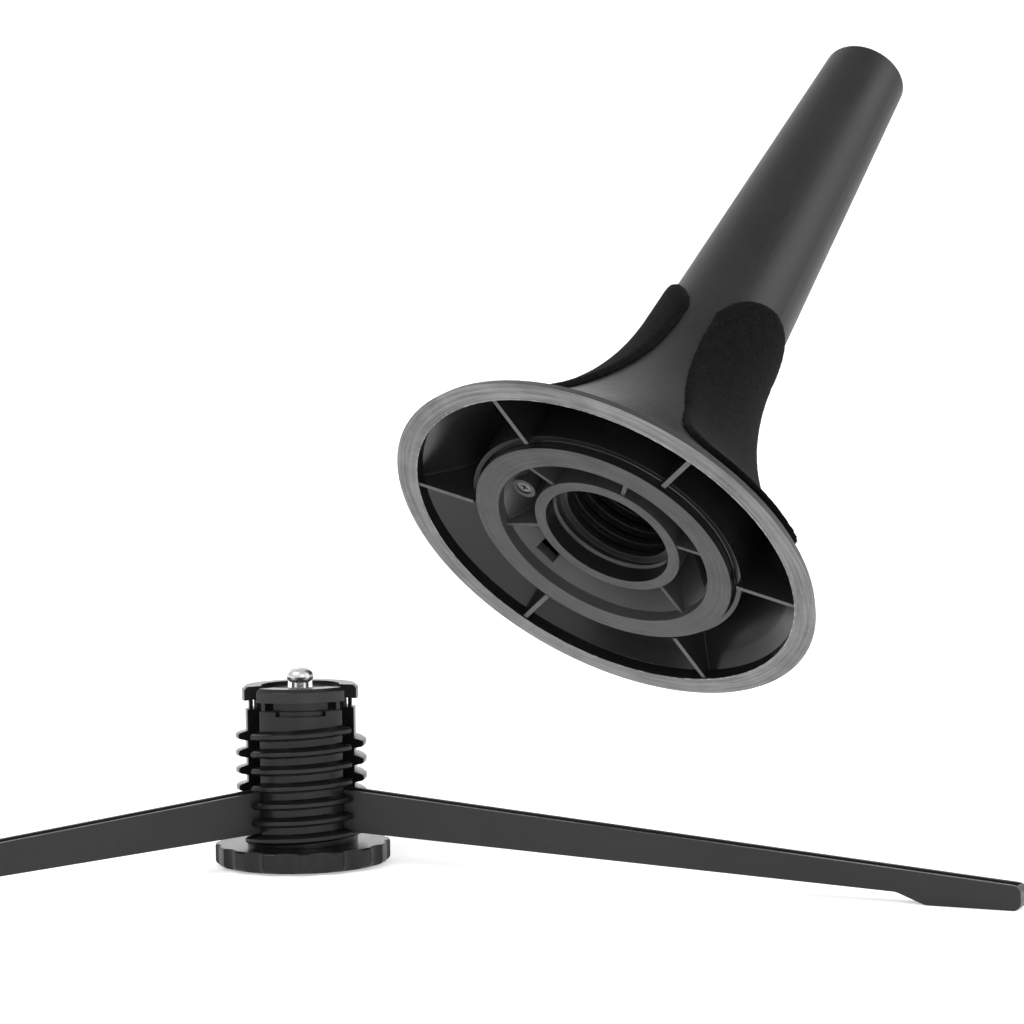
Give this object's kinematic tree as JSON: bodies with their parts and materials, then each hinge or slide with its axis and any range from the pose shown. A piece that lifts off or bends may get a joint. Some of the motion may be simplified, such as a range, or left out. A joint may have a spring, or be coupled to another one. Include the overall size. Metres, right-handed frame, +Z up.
{
  "type": "trumpet stand",
  "caption": "Trumpet stand: a flared hollow peg with felt pads that screws onto a threaded hub with folding channel legs, shown unscrewed.",
  "frame": {"origin": "on the hub's axis, at the flat underside of the grip disc", "axes": "+Z up along the hub's axis; legs point to azimuths -30, 90 and 210 degrees from +X; -Y is the side the picture is taken from"},
  "size_m": [0.3185, 0.261, 0.2036],
  "materials": {
    "shell_plastic": "satin black moulded plastic, fine matt outside, glossy inside the mouth",
    "insert_plastic": "black moulded plastic with rough grey trimmed faces",
    "hub_plastic": "semi-gloss black moulded plastic",
    "leg_paint": "satin black paint on folded sheet steel",
    "bright_steel": "polished steel",
    "pin_steel": "plain turned steel",
    "sleeve_plastic": "dark grey plastic",
    "felt": "black needled felt"
  },
  "bodies": {
    "base": {"hub": "hub_plastic", "cap_ring": "hub_plastic", "grip_disc": "hub_plastic", "pivot_pin_1": "pin_steel", "pivot_pin_2": "pin_steel", "pivot_pin_3": "pin_steel"},
    "thread_turn": {"centre_pin": "bright_steel"},
    "thread_travel": {"pin_sleeve": "sleeve_plastic"},
    "peg": {"peg_shell": "shell_plastic", "threaded_insert": "insert_plastic", "insert_screw": "pin_steel", "felt_pad_1": "felt", "felt_pad_2": "felt", "felt_pad_3": "felt"},
    "leg_1": {"leg_1": "leg_paint", "pivot_bush_1": "sleeve_plastic"},
    "leg_2": {"leg_2": "leg_paint", "pivot_bush_2": "sleeve_plastic"},
    "leg_3": {"leg_3": "leg_paint", "pivot_bush_3": "sleeve_plastic"}
  },
  "joints": [
    {"name": "leg_1_fold", "type": "hinge", "parent": "base", "child": "leg_1", "pos_m": [0.00736, -0.00425, 0.0129], "axis": [-0.5, -0.866, 0], "range_deg": [0, 94.8]},
    {"name": "leg_2_fold", "type": "hinge", "parent": "base", "child": "leg_2", "pos_m": [0, 0.0085, 0.0129], "axis": [1, 0, 0], "range_deg": [0, 94.8]},
    {"name": "leg_3_fold", "type": "hinge", "parent": "base", "child": "leg_3", "pos_m": [-0.00736, -0.00425, 0.0129], "axis": [-0.5, 0.866, 0], "range_deg": [0, 94.8]},
    {"name": "screw_turn", "type": "hinge", "parent": "base", "child": "thread_turn", "pos_m": [0, 0, 0], "axis": [0, 0, 1], "range_deg": [-2520, 0]},
    {"name": "screw_travel", "type": "slide", "parent": "thread_turn", "child": "thread_travel", "axis": [0, 0, 1], "range_m": [-0.028, 0]},
    {"name": "peg_carry", "type": "hinge", "parent": "thread_travel", "child": "peg", "pos_m": [0.05626, 0.03775, -0.00935], "axis": [-0.3667, 0.6988, 0.6142], "range_deg": [-58.02, 0]}
  ],
  "couplings": [
    {"joint": "screw_travel", "follows": "screw_turn", "m_per_rad": 0.00063662}
  ]
}
